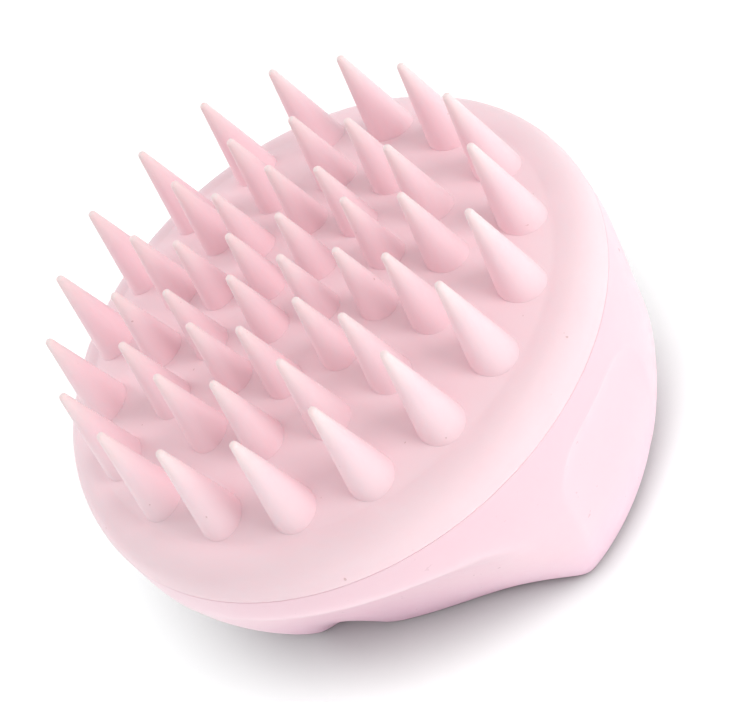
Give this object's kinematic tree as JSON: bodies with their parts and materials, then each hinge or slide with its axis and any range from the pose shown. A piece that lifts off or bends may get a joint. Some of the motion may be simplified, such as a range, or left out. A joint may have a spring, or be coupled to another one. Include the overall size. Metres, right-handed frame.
{
  "type": "scalp massager brush",
  "caption": "Hand-held scalp massager brush: a round silicone pad with rings of conical bristles on a hollow grip with finger dimples.",
  "frame": {"origin": "centre of the grip's flat back face", "axes": "+Z out of the pad along the bristles, X along the grip's long axis, Y across its two tapered sides"},
  "size_m": [0.0846, 0.0846, 0.063],
  "materials": {
    "grip_plastic": "satin moulded ABS, pale lilac pink",
    "pad_silicone": "soft matte silicone, pale warm pink",
    "carrier_plastic": "plain moulded ABS, off-white",
    "seal_silicone": "translucent white silicone",
    "screw_steel": "zinc-plated"
  },
  "bodies": {
    "grip": {"grip_shell": "grip_plastic", "seal_ring": "seal_silicone", "carrier_plate": "carrier_plastic", "carrier_screw_1": "screw_steel", "carrier_screw_2": "screw_steel", "carrier_screw_3": "screw_steel", "carrier_screw_4": "screw_steel"},
    "pad": {"bristle_pad": "pad_silicone"},
    "bristle_outer_01_body": {"bristle_outer_01": "pad_silicone"},
    "bristle_outer_02_body": {"bristle_outer_02": "pad_silicone"},
    "bristle_outer_03_body": {"bristle_outer_03": "pad_silicone"},
    "bristle_outer_04_body": {"bristle_outer_04": "pad_silicone"},
    "bristle_outer_05_body": {"bristle_outer_05": "pad_silicone"},
    "bristle_outer_06_body": {"bristle_outer_06": "pad_silicone"},
    "bristle_outer_07_body": {"bristle_outer_07": "pad_silicone"},
    "bristle_outer_08_body": {"bristle_outer_08": "pad_silicone"},
    "bristle_outer_09_body": {"bristle_outer_09": "pad_silicone"},
    "bristle_outer_10_body": {"bristle_outer_10": "pad_silicone"},
    "bristle_outer_11_body": {"bristle_outer_11": "pad_silicone"},
    "bristle_outer_12_body": {"bristle_outer_12": "pad_silicone"},
    "bristle_outer_13_body": {"bristle_outer_13": "pad_silicone"},
    "bristle_outer_14_body": {"bristle_outer_14": "pad_silicone"},
    "bristle_outer_15_body": {"bristle_outer_15": "pad_silicone"},
    "bristle_outer_16_body": {"bristle_outer_16": "pad_silicone"},
    "bristle_outer_17_body": {"bristle_outer_17": "pad_silicone"},
    "bristle_outer_18_body": {"bristle_outer_18": "pad_silicone"},
    "bristle_second_01_body": {"bristle_second_01": "pad_silicone"},
    "bristle_second_02_body": {"bristle_second_02": "pad_silicone"},
    "bristle_second_03_body": {"bristle_second_03": "pad_silicone"},
    "bristle_second_04_body": {"bristle_second_04": "pad_silicone"},
    "bristle_second_05_body": {"bristle_second_05": "pad_silicone"},
    "bristle_second_06_body": {"bristle_second_06": "pad_silicone"},
    "bristle_second_07_body": {"bristle_second_07": "pad_silicone"},
    "bristle_second_08_body": {"bristle_second_08": "pad_silicone"},
    "bristle_second_09_body": {"bristle_second_09": "pad_silicone"},
    "bristle_second_10_body": {"bristle_second_10": "pad_silicone"},
    "bristle_second_11_body": {"bristle_second_11": "pad_silicone"},
    "bristle_second_12_body": {"bristle_second_12": "pad_silicone"},
    "bristle_second_13_body": {"bristle_second_13": "pad_silicone"},
    "bristle_second_14_body": {"bristle_second_14": "pad_silicone"},
    "bristle_third_01_body": {"bristle_third_01": "pad_silicone"},
    "bristle_third_02_body": {"bristle_third_02": "pad_silicone"},
    "bristle_third_03_body": {"bristle_third_03": "pad_silicone"},
    "bristle_third_04_body": {"bristle_third_04": "pad_silicone"},
    "bristle_third_05_body": {"bristle_third_05": "pad_silicone"},
    "bristle_third_06_body": {"bristle_third_06": "pad_silicone"},
    "bristle_third_07_body": {"bristle_third_07": "pad_silicone"},
    "bristle_third_08_body": {"bristle_third_08": "pad_silicone"},
    "bristle_third_09_body": {"bristle_third_09": "pad_silicone"},
    "bristle_third_10_body": {"bristle_third_10": "pad_silicone"},
    "bristle_inner_01_body": {"bristle_inner_01": "pad_silicone"},
    "bristle_inner_02_body": {"bristle_inner_02": "pad_silicone"},
    "bristle_inner_03_body": {"bristle_inner_03": "pad_silicone"},
    "bristle_inner_04_body": {"bristle_inner_04": "pad_silicone"}
  },
  "joints": [
    {"name": "pad_pull_off", "type": "slide", "parent": "grip", "child": "pad", "axis": [0, 0, 1], "range_m": [0, 0.03]},
    {"name": "bristle_outer_01_bend", "type": "hinge", "parent": "pad", "child": "bristle_outer_01_body", "pos_m": [-0.00075, 0.03299, 0.04956], "axis": [-0.9997, -0.0227, 0], "range_deg": [-15, 15], "stiffness_Nm_per_rad": 0.02},
    {"name": "bristle_outer_02_bend", "type": "hinge", "parent": "pad", "child": "bristle_outer_02_body", "pos_m": [0.01058, 0.03126, 0.04956], "axis": [-0.9472, 0.3206, 0], "range_deg": [-15, 15], "stiffness_Nm_per_rad": 0.02},
    {"name": "bristle_outer_03_bend", "type": "hinge", "parent": "pad", "child": "bristle_outer_03_body", "pos_m": [0.02063, 0.02575, 0.04956], "axis": [-0.7804, 0.6252, 0], "range_deg": [-15, 15], "stiffness_Nm_per_rad": 0.02},
    {"name": "bristle_outer_04_bend", "type": "hinge", "parent": "pad", "child": "bristle_outer_04_body", "pos_m": [0.0282, 0.01714, 0.04956], "axis": [-0.5195, 0.8545, 0], "range_deg": [-15, 15], "stiffness_Nm_per_rad": 0.02},
    {"name": "bristle_outer_05_bend", "type": "hinge", "parent": "pad", "child": "bristle_outer_05_body", "pos_m": [0.03236, 0.00647, 0.04956], "axis": [-0.1959, 0.9806, 0], "range_deg": [-15, 15], "stiffness_Nm_per_rad": 0.02},
    {"name": "bristle_outer_06_bend", "type": "hinge", "parent": "pad", "child": "bristle_outer_06_body", "pos_m": [0.03262, -0.00499, 0.04956], "axis": [0.1513, 0.9885, 0], "range_deg": [-15, 15], "stiffness_Nm_per_rad": 0.02},
    {"name": "bristle_outer_07_bend", "type": "hinge", "parent": "pad", "child": "bristle_outer_07_body", "pos_m": [0.02895, -0.01585, 0.04956], "axis": [0.4802, 0.8771, 0], "range_deg": [-15, 15], "stiffness_Nm_per_rad": 0.02},
    {"name": "bristle_outer_08_bend", "type": "hinge", "parent": "pad", "child": "bristle_outer_08_body", "pos_m": [0.02178, -0.02479, 0.04956], "axis": [0.7513, 0.66, 0], "range_deg": [-15, 15], "stiffness_Nm_per_rad": 0.02},
    {"name": "bristle_outer_09_bend", "type": "hinge", "parent": "pad", "child": "bristle_outer_09_body", "pos_m": [0.01199, -0.03075, 0.04956], "axis": [0.9317, 0.3633, 0], "range_deg": [-15, 15], "stiffness_Nm_per_rad": 0.02},
    {"name": "bristle_outer_10_bend", "type": "hinge", "parent": "pad", "child": "bristle_outer_10_body", "pos_m": [0.00075, -0.03299, 0.04956], "axis": [0.9997, 0.0227, 0], "range_deg": [-15, 15], "stiffness_Nm_per_rad": 0.02},
    {"name": "bristle_outer_11_bend", "type": "hinge", "parent": "pad", "child": "bristle_outer_11_body", "pos_m": [-0.01058, -0.03126, 0.04956], "axis": [0.9472, -0.3206, 0], "range_deg": [-15, 15], "stiffness_Nm_per_rad": 0.02},
    {"name": "bristle_outer_12_bend", "type": "hinge", "parent": "pad", "child": "bristle_outer_12_body", "pos_m": [-0.02063, -0.02575, 0.04956], "axis": [0.7804, -0.6252, 0], "range_deg": [-15, 15], "stiffness_Nm_per_rad": 0.02},
    {"name": "bristle_outer_13_bend", "type": "hinge", "parent": "pad", "child": "bristle_outer_13_body", "pos_m": [-0.0282, -0.01714, 0.04956], "axis": [0.5195, -0.8545, 0], "range_deg": [-15, 15], "stiffness_Nm_per_rad": 0.02},
    {"name": "bristle_outer_14_bend", "type": "hinge", "parent": "pad", "child": "bristle_outer_14_body", "pos_m": [-0.03236, -0.00647, 0.04956], "axis": [0.1959, -0.9806, 0], "range_deg": [-15, 15], "stiffness_Nm_per_rad": 0.02},
    {"name": "bristle_outer_15_bend", "type": "hinge", "parent": "pad", "child": "bristle_outer_15_body", "pos_m": [-0.03262, 0.00499, 0.04956], "axis": [-0.1513, -0.9885, 0], "range_deg": [-15, 15], "stiffness_Nm_per_rad": 0.02},
    {"name": "bristle_outer_16_bend", "type": "hinge", "parent": "pad", "child": "bristle_outer_16_body", "pos_m": [-0.02895, 0.01585, 0.04956], "axis": [-0.4802, -0.8771, 0], "range_deg": [-15, 15], "stiffness_Nm_per_rad": 0.02},
    {"name": "bristle_outer_17_bend", "type": "hinge", "parent": "pad", "child": "bristle_outer_17_body", "pos_m": [-0.02178, 0.02479, 0.04956], "axis": [-0.7513, -0.66, 0], "range_deg": [-15, 15], "stiffness_Nm_per_rad": 0.02},
    {"name": "bristle_outer_18_bend", "type": "hinge", "parent": "pad", "child": "bristle_outer_18_body", "pos_m": [-0.01199, 0.03075, 0.04956], "axis": [-0.9317, -0.3633, 0], "range_deg": [-15, 15], "stiffness_Nm_per_rad": 0.02},
    {"name": "bristle_second_01_bend", "type": "hinge", "parent": "pad", "child": "bristle_second_01_body", "pos_m": [0.00364, 0.0221, 0.05177], "axis": [-0.9867, 0.1625, 0], "range_deg": [-15, 15], "stiffness_Nm_per_rad": 0.02},
    {"name": "bristle_second_02_bend", "type": "hinge", "parent": "pad", "child": "bristle_second_02_body", "pos_m": [0.01287, 0.01834, 0.05177], "axis": [-0.8185, 0.5745, 0], "range_deg": [-15, 15], "stiffness_Nm_per_rad": 0.02},
    {"name": "bristle_second_03_bend", "type": "hinge", "parent": "pad", "child": "bristle_second_03_body", "pos_m": [0.01955, 0.01094, 0.05177], "axis": [-0.4882, 0.8727, 0], "range_deg": [-15, 15], "stiffness_Nm_per_rad": 0.02},
    {"name": "bristle_second_04_bend", "type": "hinge", "parent": "pad", "child": "bristle_second_04_body", "pos_m": [0.02236, 0.00137, 0.05177], "axis": [-0.0612, 0.9981, 0], "range_deg": [-15, 15], "stiffness_Nm_per_rad": 0.02},
    {"name": "bristle_second_05_bend", "type": "hinge", "parent": "pad", "child": "bristle_second_05_body", "pos_m": [0.02074, -0.00847, 0.05177], "axis": [0.378, 0.9258, 0], "range_deg": [-15, 15], "stiffness_Nm_per_rad": 0.02},
    {"name": "bristle_second_06_bend", "type": "hinge", "parent": "pad", "child": "bristle_second_06_body", "pos_m": [0.01501, -0.01663, 0.05177], "axis": [0.7422, 0.6701, 0], "range_deg": [-15, 15], "stiffness_Nm_per_rad": 0.02},
    {"name": "bristle_second_07_bend", "type": "hinge", "parent": "pad", "child": "bristle_second_07_body", "pos_m": [0.00631, -0.02149, 0.05177], "axis": [0.9595, 0.2817, 0], "range_deg": [-15, 15], "stiffness_Nm_per_rad": 0.02},
    {"name": "bristle_second_08_bend", "type": "hinge", "parent": "pad", "child": "bristle_second_08_body", "pos_m": [-0.00364, -0.0221, 0.05177], "axis": [0.9867, -0.1625, 0], "range_deg": [-15, 15], "stiffness_Nm_per_rad": 0.02},
    {"name": "bristle_second_09_bend", "type": "hinge", "parent": "pad", "child": "bristle_second_09_body", "pos_m": [-0.01287, -0.01834, 0.05177], "axis": [0.8185, -0.5745, 0], "range_deg": [-15, 15], "stiffness_Nm_per_rad": 0.02},
    {"name": "bristle_second_10_bend", "type": "hinge", "parent": "pad", "child": "bristle_second_10_body", "pos_m": [-0.01955, -0.01094, 0.05177], "axis": [0.4882, -0.8727, 0], "range_deg": [-15, 15], "stiffness_Nm_per_rad": 0.02},
    {"name": "bristle_second_11_bend", "type": "hinge", "parent": "pad", "child": "bristle_second_11_body", "pos_m": [-0.02236, -0.00137, 0.05177], "axis": [0.0612, -0.9981, 0], "range_deg": [-15, 15], "stiffness_Nm_per_rad": 0.02},
    {"name": "bristle_second_12_bend", "type": "hinge", "parent": "pad", "child": "bristle_second_12_body", "pos_m": [-0.02074, 0.00847, 0.05177], "axis": [-0.378, -0.9258, 0], "range_deg": [-15, 15], "stiffness_Nm_per_rad": 0.02},
    {"name": "bristle_second_13_bend", "type": "hinge", "parent": "pad", "child": "bristle_second_13_body", "pos_m": [-0.01501, 0.01663, 0.05177], "axis": [-0.7422, -0.6701, 0], "range_deg": [-15, 15], "stiffness_Nm_per_rad": 0.02},
    {"name": "bristle_second_14_bend", "type": "hinge", "parent": "pad", "child": "bristle_second_14_body", "pos_m": [-0.00631, 0.02149, 0.05177], "axis": [-0.9595, -0.2817, 0], "range_deg": [-15, 15], "stiffness_Nm_per_rad": 0.02},
    {"name": "bristle_third_01_bend", "type": "hinge", "parent": "pad", "child": "bristle_third_01_body", "pos_m": [0.00068, 0.01398, 0.05292], "axis": [-0.9988, 0.0489, 0], "range_deg": [-15, 15], "stiffness_Nm_per_rad": 0.02},
    {"name": "bristle_third_02_bend", "type": "hinge", "parent": "pad", "child": "bristle_third_02_body", "pos_m": [0.00877, 0.01091, 0.05292], "axis": [-0.7793, 0.6266, 0], "range_deg": [-15, 15], "stiffness_Nm_per_rad": 0.02},
    {"name": "bristle_third_03_bend", "type": "hinge", "parent": "pad", "child": "bristle_third_03_body", "pos_m": [0.01351, 0.00367, 0.05292], "axis": [-0.2622, 0.965, 0], "range_deg": [-15, 15], "stiffness_Nm_per_rad": 0.02},
    {"name": "bristle_third_04_bend", "type": "hinge", "parent": "pad", "child": "bristle_third_04_body", "pos_m": [0.01309, -0.00497, 0.05292], "axis": [0.3551, 0.9348, 0], "range_deg": [-15, 15], "stiffness_Nm_per_rad": 0.02},
    {"name": "bristle_third_05_bend", "type": "hinge", "parent": "pad", "child": "bristle_third_05_body", "pos_m": [0.00767, -0.01171, 0.05292], "axis": [0.8368, 0.5476, 0], "range_deg": [-15, 15], "stiffness_Nm_per_rad": 0.02},
    {"name": "bristle_third_06_bend", "type": "hinge", "parent": "pad", "child": "bristle_third_06_body", "pos_m": [-0.00068, -0.01398, 0.05292], "axis": [0.9988, -0.0489, 0], "range_deg": [-15, 15], "stiffness_Nm_per_rad": 0.02},
    {"name": "bristle_third_07_bend", "type": "hinge", "parent": "pad", "child": "bristle_third_07_body", "pos_m": [-0.00877, -0.01091, 0.05292], "axis": [0.7793, -0.6266, 0], "range_deg": [-15, 15], "stiffness_Nm_per_rad": 0.02},
    {"name": "bristle_third_08_bend", "type": "hinge", "parent": "pad", "child": "bristle_third_08_body", "pos_m": [-0.01351, -0.00367, 0.05292], "axis": [0.2622, -0.965, 0], "range_deg": [-15, 15], "stiffness_Nm_per_rad": 0.02},
    {"name": "bristle_third_09_bend", "type": "hinge", "parent": "pad", "child": "bristle_third_09_body", "pos_m": [-0.01309, 0.00497, 0.05292], "axis": [-0.3551, -0.9348, 0], "range_deg": [-15, 15], "stiffness_Nm_per_rad": 0.02},
    {"name": "bristle_third_10_bend", "type": "hinge", "parent": "pad", "child": "bristle_third_10_body", "pos_m": [-0.00767, 0.01171, 0.05292], "axis": [-0.8368, -0.5476, 0], "range_deg": [-15, 15], "stiffness_Nm_per_rad": 0.02},
    {"name": "bristle_inner_01_bend", "type": "hinge", "parent": "pad", "child": "bristle_inner_01_body", "pos_m": [0.00332, 0.00439, 0.05355], "axis": [-0.7976, 0.6032, 0], "range_deg": [-15, 15], "stiffness_Nm_per_rad": 0.02},
    {"name": "bristle_inner_02_bend", "type": "hinge", "parent": "pad", "child": "bristle_inner_02_body", "pos_m": [0.00439, -0.00332, 0.05355], "axis": [0.6032, 0.7976, 0], "range_deg": [-15, 15], "stiffness_Nm_per_rad": 0.02},
    {"name": "bristle_inner_03_bend", "type": "hinge", "parent": "pad", "child": "bristle_inner_03_body", "pos_m": [-0.00332, -0.00439, 0.05355], "axis": [0.7976, -0.6032, 0], "range_deg": [-15, 15], "stiffness_Nm_per_rad": 0.02},
    {"name": "bristle_inner_04_bend", "type": "hinge", "parent": "pad", "child": "bristle_inner_04_body", "pos_m": [-0.00439, 0.00332, 0.05355], "axis": [-0.6032, -0.7976, 0], "range_deg": [-15, 15], "stiffness_Nm_per_rad": 0.02}
  ]
}
